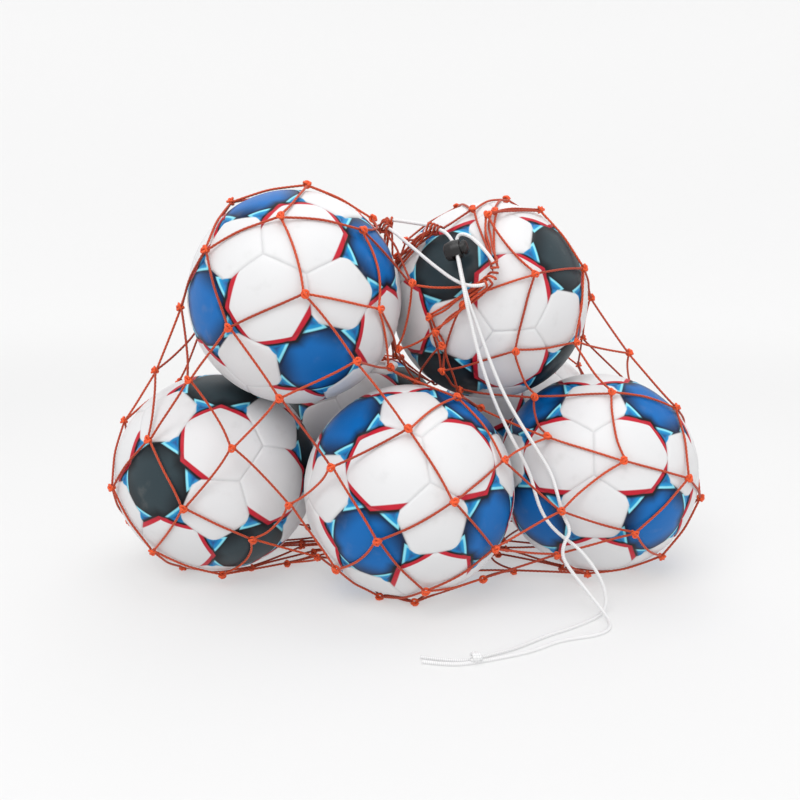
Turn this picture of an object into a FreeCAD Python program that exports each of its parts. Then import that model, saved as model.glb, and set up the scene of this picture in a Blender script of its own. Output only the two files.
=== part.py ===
import FreeCAD, Part
import math
import os

# Knotted carry net for balls, filled with seven size 5 balls and drawn shut.
# Millimetres. X runs along the row of three balls, Y to the back, Z up.
# The floor is Z 0, and the origin is under the middle of the filled bag.

V = FreeCAD.Vector
doc = FreeCAD.newDocument("mesh_ball_bag")

SIZES = {
    "ball_radius": 110.0,
    "cover_wall": 4.5,
    "bladder_gap": 0.4,
    "bladder_wall": 1.2,
    "valve_radius": 5.0,
    "valve_gap": 0.2,
    "valve_length": 9.0,
    "twine_radius": 1.3,
    "twine_gap": 0.95,
    "bar_length": 79.0,
    "mesh_columns": 16,
    "mesh_rows": 14,
    "knot_reach": 3.8,
    "knot_core": 1.9,
    "knot_bead": 1.3,
    "base_ring_radius": 13.0,
    "base_cord_radius": 1.5,
    "wrap_gap": 0.4,
    "cord_radius": 1.8,
    "cord_pitch": 4.0,
    "tip_pitch": 4.8,
    "lock_radius": 10.0,
    "lock_bottom": 12.1,
    "lock_rim": 4.4,
    "lock_bore": 6.4,
    "lock_floor": 10.1,
    "hole_low": 5.0,
    "hole_high": 2.6,
    "hole_half": 4.6,
    "stem_radius": 6.1,
    "stem_bottom": 4.2,
    "cap_radius": 7.4,
    "cap_low": 7.5,
    "cap_high": 12.0,
    "spring_radius": 3.6,
    "spring_wire": 0.45,
}

BALLS = {
    "front_middle": (2.0, -139.2, 110.0),
    "front_left": (-213.3, -76.4, 110.0),
    "front_right": (213.3, -74.4, 110.0),
    "back_left": (-56.2, 79.0, 110.0),
    "back_right": (156.5, 139.2, 110.0),
    "top_left": (-116.2, -103.3, 306.7),
    "top_right": (92.6, -31.6, 296.9),
}

BASE = (-23.0, 2.8, 4.6)

sheet = doc.addObject("Spreadsheet::Sheet", "sizes")
row = 1
for name, value in SIZES.items():
    sheet.set("A%d" % row, name)
    sheet.set("B%d" % row, str(value))
    sheet.setAlias("B%d" % row, name)
    row += 1
for name, centre in BALLS.items():
    for axis, value in zip("xyz", centre):
        alias = "at_" + name + "_" + axis
        sheet.set("A%d" % row, alias)
        sheet.set("B%d" % row, str(value))
        sheet.setAlias("B%d" % row, alias)
        row += 1
doc.recompute()


def size(name):
    return float(sheet.get(name))


BALL = size("ball_radius")
TWINE = size("twine_radius")
CORD = size("cord_radius")
COLUMNS = int(size("mesh_columns"))
ROWS = int(size("mesh_rows"))
CENTRES = [tuple(size("at_" + name + "_" + axis) for axis in "xyz") for name in BALLS]

parts = {}


def keep(name, shape, label=None):
    """A sub-part whose shape is made here, with its own label and placement."""
    item = doc.addObject("Part::Feature", name)
    item.Shape = shape
    item.Label = label or name
    item.Placement = shape.Placement
    parts[name] = item
    return item


# ---------------------------------------------------------------- balls

def ball(name, centre):
    """Cover with its valve hole at the bottom, bladder inside it, and the rubber valve."""
    at = FreeCAD.Placement(V(*centre), FreeCAD.Rotation())

    def sphere(tag, radius):
        item = doc.addObject("Part::Sphere", "ball_" + name + "_" + tag)
        item.setExpression("Radius", radius)
        return item

    def plug(tag, radius, length):
        item = doc.addObject("Part::Cylinder", "ball_" + name + "_" + tag)
        item.setExpression("Radius", radius)
        item.setExpression("Height", length)
        item.Placement = FreeCAD.Placement(V(0, 0, -BALL), FreeCAD.Rotation())
        return item

    def cut(tag, base, tool):
        item = doc.addObject("Part::Cut", "ball_" + name + "_" + tag)
        item.Base = base
        item.Tool = tool
        return item

    wall = "sizes.cover_wall"
    shell = cut("shell", sphere("skin", "sizes.ball_radius"), sphere("hollow", "sizes.ball_radius - " + wall))
    hole = plug("hole", "sizes.valve_radius + sizes.valve_gap", "sizes.valve_length + 10")
    cover = cut("cover", shell, hole)
    inside = "sizes.ball_radius - " + wall + " - sizes.bladder_gap"
    bag = cut("bag", sphere("bag_skin", inside), sphere("bag_hollow", inside + " - sizes.bladder_wall"))
    room = plug("room", "sizes.valve_radius + sizes.valve_gap", "sizes.valve_length + 10")
    bladder = cut("bladder", bag, room)
    stem = plug("stem", "sizes.valve_radius", "sizes.valve_length")
    end = doc.addObject("Part::Common", "ball_" + name + "_valve")
    end.Base = stem
    end.Tool = sphere("valve_end", "sizes.ball_radius")
    for tag, item in (("cover", cover), ("bladder", bladder), ("valve", end)):
        item.Placement = at
        item.Label = "ball_" + name + "_" + tag
        parts["ball_" + name + "_" + tag] = item


for name, centre in zip(BALLS, CENTRES):
    ball(name, centre)


# ---------------------------------------------------------------- cords and twine

def rounded(points, share=0.45):
    """Edges of a route: straight runs joined by tangent arcs."""
    edges = []
    here = points[0]
    for before, corner, after in zip(points, points[1:], points[2:]):
        back, ahead = before - corner, after - corner
        cut = share * min(back.Length, ahead.Length)
        back.normalize()
        ahead.normalize()
        turn = math.pi - back.getAngle(ahead)
        if turn < 1e-4:
            continue
        radius = cut / math.tan(turn / 2)
        start, end = corner + back * cut, corner + ahead * cut
        middle = back + ahead
        middle.normalize()
        top = corner + middle * (radius / math.cos(turn / 2) - radius)
        edges.append(Part.makeLine(here, start))
        edges.append(Part.Arc(start, top, end).toShape())
        here = end
    edges.append(Part.makeLine(here, points[-1]))
    return edges


def tube(points, radius, share=0.45):
    """A round cord along a route, as one solid, checked against its section times its length."""
    spine = Part.Wire(rounded(points, share))
    start = spine.Edges[0]
    ring = Part.makeCircle(radius, points[0], start.tangentAt(start.FirstParameter))
    solid = spine.makePipe(Part.Face(Part.Wire([ring])))
    wanted = math.pi * radius ** 2 * spine.Length
    if not solid.isValid() or abs(solid.Volume - wanted) > 0.02 * wanted:
        raise ValueError("a cord crosses itself near %s" % points[0])
    return solid


def length_of(points):
    return sum(edge.Length for edge in rounded(points))


def station(edges, along):
    """Point and direction at a length along a route."""
    for edge in edges:
        if along <= edge.Length:
            break
        along -= edge.Length
    at = edge.getParameterByLength(along)
    way = edge.tangentAt(at)
    return edge.valueAt(at), V(way).normalize()


# ---------------------------------------------------------------- the cord lock's frame

top_right = V(*CENTRES[list(BALLS).index("top_right")])
OUT = V(-0.3466, -0.808, 0.476).normalize()
RISE = (V(0, 0, 1) - OUT * OUT.z).normalize()
SIDE = RISE.cross(OUT).normalize()
TILT = math.radians(20)
CHANNEL = RISE * math.cos(TILT) - SIDE * math.sin(TILT)
BARREL = SIDE * math.cos(TILT) + RISE * math.sin(TILT)
LOCK = top_right + OUT * 127.0
LOCK_AT = FreeCAD.Placement(LOCK, FreeCAD.Rotation(CHANNEL, OUT, BARREL))
STRAND = OUT * (size("cord_pitch") / 2)

# The mouth cord leaves the lock, goes round the right bunch of loops, crosses to the left
# bunch, comes back past the middle bunch and goes down through the lock again.
mouth = [
    LOCK - CHANNEL * 16 + STRAND,
    LOCK + CHANNEL * 14 + STRAND,
    V(58, -137, 374),
    V(75, -146, 358),
    V(86, -150, 343),
    V(84, -152, 328),
    V(68, -153, 322),
    V(50, -147, 325),
    V(27, -126, 341),
    V(5, -105, 359),
    V(-13, -90, 374),
    V(-25, -79, 382),
    V(-22, -67, 387),
    V(-8, -70, 386),
    V(10, -84, 383),
    V(25, -99, 381),
    LOCK + CHANNEL * 16 - STRAND,
    LOCK - CHANNEL * 16 - STRAND,
]
mouth_edges = rounded(mouth)

# The two free ends hang down the front from the lock and lie on the floor.
END_A = [
    LOCK - CHANNEL * 16 + STRAND,
    LOCK - CHANNEL * 50 + STRAND,
    V(61, -161, 290),
    V(71, -162, 252),
    V(86, -158, 210),
    V(104, -155, 173),
    V(125, -159, 135),
    V(132, -169, 106),
    V(141, -176, 88),
    V(155, -179, 74),
    V(172, -183, 63),
    V(187, -189, 46),
    V(197, -194, 28),
    V(200, -200, 9),
    V(190, -211, 1.9),
    V(173, -224, 1.9),
    V(154, -237, 1.9),
    V(132, -249, 1.9),
    V(110, -265, 1.9),
    V(93, -276, 1.9),
    V(75, -284, 1.9),
    V(60, -293, 1.9),
    V(38, -296, 1.9),
    V(11, -288, 1.9),
]
END_B = [
    LOCK - CHANNEL * 16 - STRAND,
    LOCK - CHANNEL * 50 - STRAND,
    V(68, -156, 286),
    V(82, -157, 248),
    V(98, -157, 212),
    V(115, -158, 184),
    V(131, -161, 159),
    V(145, -165, 137),
    V(151, -176, 116),
    V(156, -180, 96),
    V(164, -186, 82),
    V(156, -190, 70),
    V(155, -190, 56),
    V(164, -194, 42),
    V(175, -199, 29),
    V(187, -208, 15),
    V(197, -222, 4),
    V(194, -238, 1.9),
    V(178, -249, 1.9),
    V(158, -254, 1.9),
    V(140, -260, 1.9),
    V(125, -270, 1.9),
    V(110, -279, 1.9),
    V(87, -288, 1.9),
    V(60, -297, 1.9),
    V(37, -302, 1.9),
    V(12, -296, 1.9),
]


def nearest_length(edges, point):
    """How far along a route it comes nearest to a point."""
    best, total = None, 0.0
    for edge in edges:
        for step in range(9):
            along = edge.Length * step / 8
            off = (edge.valueAt(edge.getParameterByLength(along)) - point).Length
            if best is None or off < best[0]:
                best = off, total + along
        total += edge.Length
    return best[1]


def loop_tips():
    """Where each top loop of the net hangs on the mouth cord: six right, four middle, six left."""
    pitch = size("tip_pitch")
    tips = {}
    for columns, at in ((range(0, 6), V(84, -152, 334)), (range(6, 10), V(29, -102, 379)),
                        (range(10, 16), V(-24, -75, 385))):
        centre = nearest_length(mouth_edges, at)
        middle = (len(columns) - 1) / 2
        for n, column in enumerate(columns):
            # the cord passes columns 5 to 0, then 15 to 6
            tips[column] = station(mouth_edges, centre - (n - middle) * pitch)
    return tips


TIPS = loop_tips()


# ---------------------------------------------------------------- the net's shape at rest
#
# The net is a tube of diamond meshes. Rows of knots are joined by bars of one length that can
# bend and go slack but not stretch. The knots start on a wide envelope, the bars draw it in
# over the balls, and then the slack settles under its own weight.

SPANS = 4
OBSTACLES = [centre + (BALL,) for centre in CENTRES]
for back in (0, 10, 20):
    OBSTACLES.append(tuple(LOCK - CHANNEL * back) + (12.0,))


def envelope(row, column):
    """Where a knot starts: on a sheet over the pile, round its sides, or on the floor below it."""
    turn = (column + 0.5 * (row % 2)) / COLUMNS * 2 * math.pi - math.pi / 2
    share = row / ROWS
    tip = TIPS[column][0]
    if row % 2:
        tip = (tip + TIPS[(column + 1) % COLUMNS][0]) * 0.5
    if share < 0.40:
        wide = share / 0.40
        height = 425 - 60 * wide ** 2
        middle = tip * (1 - wide)
    elif share < 0.68:
        wide = 1.0
        height = 365 - 350 * (share - 0.40) / 0.28
        middle = V(0, 0, 0)
    else:
        wide = 1 - 0.97 * (share - 0.68) / 0.32
        height = 6.0
        middle = V(*BASE) * (1 - wide)
    return [middle.x + 372 * wide * math.cos(turn), middle.y + 300 * wide * math.sin(turn), height]


class Net:
    """Points joined by spans: the knots, and the points along each bar between them."""

    def __init__(self):
        self.at = []
        self.fixed = []
        self.reach = []
        self.knots = {}
        self.bars = []
        for row in range(ROWS + 1):
            for column in range(COLUMNS):
                if row == 0:
                    point, fixed, reach = list(TIPS[column][0]), True, TWINE
                elif row == ROWS:
                    turn = (column + 0.5 * (row % 2)) / COLUMNS * 2 * math.pi - math.pi / 2
                    ring = size("base_ring_radius")
                    point = [BASE[0] + ring * math.cos(turn), BASE[1] + ring * math.sin(turn), BASE[2]]
                    fixed, reach = True, TWINE
                else:
                    point, fixed, reach = envelope(row, column), False, size("knot_reach")
                self.knots[row, column] = self.add(point, fixed, reach)
        for row in range(ROWS):
            for column in range(COLUMNS):
                beside = (column - 1) % COLUMNS if row % 2 == 0 else (column + 1) % COLUMNS
                for below in (column, beside):
                    self.add_bar(row, column, below)
        self.spans = [pair for bar in self.bars for pair in zip(bar[3], bar[3][1:])]
        self.crossable = self.spans + self.cord_spans()
        self.bends = [three for bar in self.bars for three in zip(bar[3], bar[3][1:], bar[3][2:])]
        self.free = [n for n in range(len(self.at)) if not self.fixed[n]]
        self.loose = [n for key, n in self.knots.items() if 0 < key[0] < ROWS]
        self.tied = set(self.loose)

    def add(self, point, fixed, reach):
        self.at.append(point)
        self.fixed.append(fixed)
        self.reach.append(reach)
        return len(self.at) - 1

    def add_bar(self, row, column, below):
        start, end = self.knots[row, column], self.knots[row + 1, below]
        route = [start]
        for n in range(1, SPANS):
            point = [a + (b - a) * n / SPANS for a, b in zip(self.at[start], self.at[end])]
            route.append(self.add(point, False, TWINE))
        route.append(end)
        self.bars.append((row, column, below, route))

    def cord_spans(self):
        """Short fixed spans along the drawstring, for the bars to keep clear of."""
        spans = []
        for points in (mouth, END_A, END_B):
            edges = rounded(points)
            whole = sum(edge.Length for edge in edges)
            count = int(whole // 11)
            row = [self.add(list(station(edges, whole * n / count)[0]), True, CORD) for n in range(count)]
            spans += list(zip(row, row[1:]))
        return spans

    def hold(self, pairs, length):
        """No span longer than this."""
        for a, b in pairs:
            p, q = self.at[a], self.at[b]
            dx, dy, dz = q[0] - p[0], q[1] - p[1], q[2] - p[2]
            far = dx * dx + dy * dy + dz * dz
            if far > length * length:
                give = int(not self.fixed[a]) + int(not self.fixed[b])
                if not give:
                    continue
                far = math.sqrt(far)
                part = (far - length) / far / give
                dx, dy, dz = dx * part, dy * part, dz * part
                if not self.fixed[a]:
                    p[0] += dx
                    p[1] += dy
                    p[2] += dz
                if not self.fixed[b]:
                    q[0] -= dx
                    q[1] -= dy
                    q[2] -= dz

    def straighten(self, share):
        for a, m, b in self.bends:
            p, q, r = self.at[a], self.at[m], self.at[b]
            for k in (0, 1, 2):
                q[k] += ((p[k] + r[k]) / 2 - q[k]) * share

    def clear(self, before=None, grip=0.0):
        """Off the balls and the floor. With grip, a ball's surface slows what slides on it."""
        for n in self.free:
            p = self.at[n]
            x, y, z = p
            low = self.reach[n] + 0.05
            for bx, by, bz, radius in OBSTACLES:
                keep_off = radius + self.reach[n] + TWINE_GAP
                dx, dy, dz = x - bx, y - by, z - bz
                if abs(dx) > keep_off or abs(dy) > keep_off or abs(dz) > keep_off:
                    continue
                far = math.sqrt(dx * dx + dy * dy + dz * dz)
                if far >= keep_off:
                    continue
                out = keep_off / far
                tx, ty, tz = bx + dx * out, by + dy * out, bz + dz * out
                if tz < low:
                    flat = math.hypot(dx, dy)
                    out = math.sqrt(keep_off ** 2 - (bz - low) ** 2) / flat
                    tx, ty, tz = bx + dx * out, by + dy * out, low
                elif grip:
                    old = before[n]
                    slide = [tx - old[0], ty - old[1], tz - old[2]]
                    far_slid = math.sqrt(slide[0] ** 2 + slide[1] ** 2 + slide[2] ** 2)
                    part = max(0.0, 1 - grip * (keep_off - far) / far_slid) if far_slid else 0.0
                    tx, ty, tz = (old[k] + slide[k] * part for k in (0, 1, 2))
                x, y, z = tx, ty, tz
            p[0], p[1], p[2] = x, y, max(z, low)

    def squeeze(self, step):
        """Draw every free point towards the upright line through the middle of the pile."""
        for n in self.free:
            p = self.at[n]
            away = math.hypot(p[0], p[1])
            if away > 60:
                p[0] -= step * p[0] / away
                p[1] -= step * p[1] / away

    def part_knots(self, apart):
        cells = {}
        for n in self.loose:
            p = self.at[n]
            cells.setdefault(tuple(int(c // apart) for c in p), []).append(n)
        for cell, inside in cells.items():
            for step in NEIGHBOURS:
                for m in cells.get((cell[0] + step[0], cell[1] + step[1], cell[2] + step[2]), ()):
                    for n in inside:
                        if n < m:
                            self.push_apart(n, m, apart)

    def push_apart(self, n, m, apart):
        p, q = self.at[n], self.at[m]
        gap = [b - a for a, b in zip(p, q)]
        far = math.sqrt(sum(c * c for c in gap)) or 1e-3
        if far < apart:
            part = (apart - far) / far / 2
            for k in (0, 1, 2):
                q[k] += gap[k] * part
                p[k] -= gap[k] * part

    def near_spans(self):
        """Pairs of spans, not joined to each other, whose middles are in neighbouring cells."""
        cells = {}
        for n, (a, b) in enumerate(self.crossable):
            middle = [(c + d) / 2 // 24.0 for c, d in zip(self.at[a], self.at[b])]
            cells.setdefault(tuple(middle), []).append(n)
        pairs = []
        for cell, inside in cells.items():
            for step in NEIGHBOURS:
                for m in cells.get((cell[0] + step[0], cell[1] + step[1], cell[2] + step[2]), ()):
                    for n in inside:
                        if n < m and n < len(self.spans) and not set(self.crossable[n]) & set(self.crossable[m]):
                            pairs.append((n, m))
        return pairs

    def part_spans(self, pairs, apart):
        """Push spans that cross too closely away from each other, and further away near a knot."""
        for n, m in pairs:
            (a, b), (c, d) = self.crossable[n], self.crossable[m]
            if self.fixed[a] and self.fixed[c] or self.fixed[b] and self.fixed[d]:
                continue
            far, s, t, gap = between(self.at[a], self.at[b], self.at[c], self.at[d])
            ends = (a if s < 0.5 else b, c if t < 0.5 else d)
            close = (min(s, 1 - s) < 0.5, min(t, 1 - t) < 0.5)
            by_knot = any(end in self.tied and near for end, near in zip(ends, close))
            wanted = apart + 1.5 if by_knot else apart
            if far >= wanted:
                continue
            if far < 0.05:
                gap = [self.at[a][0], self.at[a][1], self.at[a][2] - 160]
                way = [g / math.sqrt(sum(h * h for h in gap)) for g in gap]
            else:
                way = [g / far for g in gap]
            push = (wanted - far) * 0.65
            for k, share in ((a, 1 - s), (b, s), (c, t - 1), (d, -t)):
                if not self.fixed[k]:
                    for axis in (0, 1, 2):
                        self.at[k][axis] += way[axis] * push * share

    def settle(self):
        length = size("bar_length") / SPANS
        backwards = self.spans[::-1]
        for step in range(DRAW_STEPS):
            loose = length * (1 + 0.9 * (1 - step / DRAW_STEPS) ** 1.5)
            self.squeeze(0.35)
            for n in self.free:
                if self.at[n][2] > 300:
                    self.at[n][2] -= 0.3
            for again in range(3):
                self.hold(self.spans, loose)
                self.hold(backwards, loose)
            self.straighten(0.2)
            if step % 4 == 0:
                self.part_knots(14.0)
            self.clear()
        for step in range(FALL_STEPS):
            left = 1 - step / FALL_STEPS
            before = [p[:] for p in self.at]
            self.squeeze(0.25 * left)
            for n in self.free:
                p = self.at[n]
                if p[2] < 30:
                    away = math.hypot(p[0] - BASE[0], p[1] - BASE[1])
                    if away > 40:
                        p[0] -= PULL * left * (p[0] - BASE[0]) / away
                        p[1] -= PULL * left * (p[1] - BASE[1]) / away
                p[2] -= 0.4 * left + 0.02
            for again in range(2):
                self.hold(self.spans, length)
                self.hold(backwards, length)
            self.straighten(0.1)
            if step % 3 == 0:
                self.part_knots(12.0)
            self.clear(before, 0.15)
        for step in range(PART_STEPS):
            if step % 10 == 0:
                pairs = self.near_spans()
            self.hold(self.spans, length)
            self.hold(backwards, length)
            self.part_knots(10.5)
            self.part_spans(pairs, 2 * TWINE + 1.0)
            self.clear()
        for step in range(90):
            self.part_spans(pairs, 2 * TWINE + 1.0)
            self.clear()


def between(p1, q1, p2, q2):
    """The nearest distance of two straight spans, how far along each it is, and the gap."""
    d1 = [b - a for a, b in zip(p1, q1)]
    d2 = [b - a for a, b in zip(p2, q2)]
    r = [b - a for a, b in zip(p2, p1)]
    a = sum(c * c for c in d1)
    e = sum(c * c for c in d2)
    f = sum(c * d for c, d in zip(d2, r))
    c1 = sum(c * d for c, d in zip(d1, r))
    b = sum(c * d for c, d in zip(d1, d2))
    whole = a * e - b * b
    s = min(max((b * f - c1 * e) / whole, 0.0), 1.0) if whole > 1e-9 else 0.0
    t = (b * s + f) / e
    if t < 0:
        s, t = min(max(-c1 / a, 0.0), 1.0), 0.0
    elif t > 1:
        s, t = min(max((b - c1) / a, 0.0), 1.0), 1.0
    gap = [r[k] + d1[k] * s - d2[k] * t for k in (0, 1, 2)]
    return math.sqrt(sum(c * c for c in gap)), s, t, gap


NEIGHBOURS = [(x, y, z) for x in (-1, 0, 1) for y in (-1, 0, 1) for z in (-1, 0, 1)]
TWINE_GAP = size("twine_gap")
DRAW_STEPS = 500
FALL_STEPS = 400
PART_STEPS = 200
PULL = 0.9

net = Net()
net.settle()


# ---------------------------------------------------------------- the net's solids

def point_of(number):
    return V(*net.at[number])


def unit(vector):
    return V(vector).normalize()


def goes_right(bar):
    """Does a bar run down to the right, seen from outside the bag?"""
    row, column, below, route = bar
    return (below == column) == (row % 2 == 0)


def knot_frames():
    """Each knot's centre, its direction along the row, and its direction up the bag."""
    along, up = {}, {}
    for bar in net.bars:
        route = bar[3]
        side = 1 if goes_right(bar) else -1
        upper = unit(point_of(route[1]) - point_of(route[0]))
        lower = unit(point_of(route[-2]) - point_of(route[-1]))
        top, low = route[0], route[-1]
        along[top] = along.get(top, V()) + upper * side
        along[low] = along.get(low, V()) - lower * side
        up[top] = up.get(top, V()) - upper
        up[low] = up.get(low, V()) + lower
    frames = {}
    for key, number in net.knots.items():
        if 0 < key[0] < ROWS:
            across = unit(along[number])
            rise = up[number] - across * across.dot(up[number])
            if rise.Length < 0.2:
                rise = across.cross(V(0, 1, 0))
            frames[number] = (point_of(number), across, unit(rise))
    return frames


FRAMES = knot_frames()


def port(number, side, level):
    """Where a bar starts inside a knot. Each of the four bars has its own place."""
    centre, across, rise = FRAMES[number]
    return centre + across * (2.3 * side) + rise * (1.4 * level)


def plain_bar(bar):
    route = bar[3]
    side = 1 if goes_right(bar) else -1
    points = [port(route[0], side, -1)]
    points += [point_of(n) for n in route[1:-1]]
    points.append(port(route[-1], -side, 1))
    return tube(points, TWINE)


def loop_bar(first, second, centre, way, cord, level):
    """Two bars and the loop between them, hung over a cord that runs along way. level keeps it flat."""
    legs = []
    for bar in (first, second):
        route = bar[3] if bar[0] == 0 else bar[3][::-1]
        side = 1 if goes_right(bar) else -1
        knot = route[-1]
        start = port(knot, -side, 1) if bar[0] == 0 else port(knot, side, -1)
        legs.append([start] + [point_of(n) for n in route[-2:0:-1]])
    pull = (legs[0][-1] + legs[1][-1]) * 0.5 - centre
    pull = pull - way * way.dot(pull)
    if level:
        pull.z = 0
    pull = unit(pull)
    out = way.cross(pull)
    if out.dot(legs[0][-1] - legs[1][-1]) < 0:
        out = out * -1
    wrap = cord + TWINE + size("wrap_gap")
    turn = [centre + out * wrap + pull * 5, centre + out * wrap - pull * wrap]
    turn += [centre - out * wrap - pull * wrap, centre - out * wrap + pull * 5]
    return tube(legs[0] + turn + legs[1][::-1], TWINE)


def course(row):
    """The solids of one row of bars: plain bars, or the loops at the mouth and at the base."""
    bars = [bar for bar in net.bars if bar[0] == row]
    if 0 < row < ROWS - 1:
        return [plain_bar(bar) for bar in bars]
    loops = []
    for column in range(COLUMNS):
        if row == 0:
            pair = [bar for bar in bars if bar[1] == column]
            centre, way = TIPS[column]
            cord = CORD
        else:
            pair = [bar for bar in bars if bar[2] == column]
            centre = point_of(net.knots[ROWS, column])
            way = unit(V(0, 0, 1).cross(centre - V(*BASE)))
            cord = size("base_cord_radius")
        loops.append(loop_bar(pair[0], pair[1], centre, way, cord, row > 0))
    return loops


def bead(core, round_radius):
    """A knot's body: three turns of twine side by side, round the X axis."""
    edges = [Part.makeLine(V(-3 * round_radius, 0, 0), V(-3 * round_radius, 0, core))]
    for n in (-1, 0, 1):
        middle = 2 * round_radius * n
        start, end = V(middle - round_radius, 0, core), V(middle + round_radius, 0, core)
        edges.append(Part.Arc(start, V(middle, 0, core + round_radius), end).toShape())
    edges.append(Part.makeLine(V(3 * round_radius, 0, core), V(3 * round_radius, 0, 0)))
    edges.append(Part.makeLine(V(3 * round_radius, 0, 0), V(-3 * round_radius, 0, 0)))
    return Part.Face(Part.Wire(edges)).revolve(V(), V(1, 0, 0), 360)


def placed(shape, centre, along, rise):
    copy = shape.copy()
    turn = FreeCAD.Rotation(along, V(), rise, "XZY")
    copy.Placement = FreeCAD.Placement(centre, turn)
    return copy


KNOT = bead(size("knot_core"), size("knot_bead"))
keep("net_knots", Part.makeCompound([placed(KNOT, *frame) for frame in FRAMES.values()]))
for row in range(ROWS):
    keep("net_course_%02d" % (row + 1), Part.makeCompound(course(row)))

ring = doc.addObject("Part::Torus", "base_cord")
ring.setExpression("Radius1", "sizes.base_ring_radius")
ring.setExpression("Radius2", "sizes.base_cord_radius")
ring.Placement = FreeCAD.Placement(V(*BASE), FreeCAD.Rotation())
ring.Label = "base_cord"
parts["base_cord"] = ring


# ---------------------------------------------------------------- the drawstring

keep("drawstring_loop", tube(mouth, CORD))

keep("drawstring_end_a", tube(END_A, CORD))
keep("drawstring_end_b", tube(END_B, CORD))
END_KNOT = bead(3.6, 1.9)
keep("drawstring_end_knot", placed(END_KNOT, V(60, -295, 5.6), V(1, 0, 0), V(0, 0, 1)))
print("cord radius", CORD, "end a", round(length_of(END_A)), "end b", round(length_of(END_B)),
      "loop", round(length_of(mouth)))


# ---------------------------------------------------------------- the cord lock

def lock_part(name, profile, hole_low, hole_high):
    """A turned body with one cross hole for the two cords. The profile is (radius, height) pairs."""
    body = doc.addObject("PartDesign::Body", name)
    planes = {item.Role: item for item in body.Origin.OriginFeatures}
    outline = body.newObject("Sketcher::SketchObject", name + "_outline")
    outline.AttachmentSupport = [(planes["XZ_Plane"], "")]
    outline.MapMode = "FlatFace"
    for start, end in zip(profile, profile[1:] + profile[:1]):
        outline.addGeometry(Part.LineSegment(V(start[0], start[1], 0), V(end[0], end[1], 0)), False)
    turned = body.newObject("PartDesign::Revolution", name + "_turned")
    turned.Profile = outline
    turned.ReferenceAxis = (outline, ["V_Axis"])
    turned.Angle = 360
    doc.recompute()
    slot = body.newObject("Sketcher::SketchObject", name + "_slot")
    slot.AttachmentSupport = [(planes["YZ_Plane"], "")]
    slot.MapMode = "FlatFace"
    half = size("hole_half")
    corners = [(-half, hole_low), (half, hole_low), (half, hole_high), (-half, hole_high)]
    for start, end in zip(corners, corners[1:] + corners[:1]):
        slot.addGeometry(Part.LineSegment(V(start[0], start[1], 0), V(end[0], end[1], 0)), False)
    cut = body.newObject("PartDesign::Pocket", name + "_cut")
    cut.Profile = slot
    cut.Type = 1
    cut.Midplane = True
    doc.recompute()
    body.Placement = LOCK_AT
    body.Label = name
    parts[name] = body
    return body


outer = size("lock_radius")
bore = size("lock_bore")
bottom = -size("lock_bottom")
rim = size("lock_rim")
lock_part("cord_lock_housing",
          [(0, bottom), (6.2, bottom), (8.6, bottom + 1.8), (outer, -4), (outer, -1), (9.2, rim),
           (bore, rim), (bore, -size("lock_floor")), (0, -size("lock_floor"))],
          -size("hole_low"), size("hole_high"))
stem = size("stem_radius")
cap = size("cap_radius")
low, high = size("cap_low"), size("cap_high")
lock_part("cord_lock_button",
          [(0, -size("stem_bottom")), (stem, -size("stem_bottom")), (stem, low), (cap, low),
           (cap, high - 2.5), (cap - 1.4, high - 0.8), (cap - 4, high), (0, high)],
          -size("hole_high"), size("hole_low"))

coil = Part.makeHelix(1.6, 4.6, size("spring_radius"))
wire = Part.Wire(coil.Edges)
first = wire.Edges[0]
begin = first.valueAt(first.FirstParameter)
section = Part.Wire([Part.makeCircle(size("spring_wire"), begin, first.tangentAt(first.FirstParameter))])
spring = wire.makePipeShell([section], True, True)
spring.translate(V(0, 0, -9.5))
spring.Placement = LOCK_AT.multiply(spring.Placement)
keep("cord_lock_spring", spring)

doc.recompute()
os.makedirs("parts", exist_ok=True)
for name, item in parts.items():
    bad = [state for state in item.State if "Invalid" in state or "Error" in state]
    shape = item.Shape
    if bad or shape.isNull() or not shape.isValid():
        raise ValueError("%s did not build" % name)
    shape.exportStep("parts/" + name + ".step")
print(len(parts), "sub-parts written")
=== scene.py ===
"""Mesh ball bag: a knotted carry net full of balls, drawn shut by a cord with a cord lock.

Metres, in the frame of the CAD model: X along the front row, Y to the back, Z up.
Routes and other sizes that are written in millimetres are turned into metres by MM.
"""
import math

import bpy
import numpy as np
from mathutils import Euler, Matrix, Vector


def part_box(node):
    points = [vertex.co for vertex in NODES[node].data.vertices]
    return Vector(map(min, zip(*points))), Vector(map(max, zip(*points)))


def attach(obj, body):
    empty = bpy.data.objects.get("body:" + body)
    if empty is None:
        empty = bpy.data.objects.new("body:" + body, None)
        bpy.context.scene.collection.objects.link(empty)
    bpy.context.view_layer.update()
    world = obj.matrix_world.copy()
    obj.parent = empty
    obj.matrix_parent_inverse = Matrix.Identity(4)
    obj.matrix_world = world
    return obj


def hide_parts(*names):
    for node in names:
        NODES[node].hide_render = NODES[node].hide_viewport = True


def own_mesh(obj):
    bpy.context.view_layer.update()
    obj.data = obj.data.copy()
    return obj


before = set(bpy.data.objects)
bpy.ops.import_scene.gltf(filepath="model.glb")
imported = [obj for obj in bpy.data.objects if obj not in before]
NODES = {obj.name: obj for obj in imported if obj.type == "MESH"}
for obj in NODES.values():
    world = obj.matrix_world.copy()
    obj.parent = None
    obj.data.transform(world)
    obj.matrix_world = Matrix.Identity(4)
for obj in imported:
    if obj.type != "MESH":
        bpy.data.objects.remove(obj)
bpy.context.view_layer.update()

scene = bpy.context.scene
MM = 0.001

BALL_RADIUS = 110 * MM
TWINE_RADIUS = 1.3 * MM
CORD_RADIUS = 1.8 * MM

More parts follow.
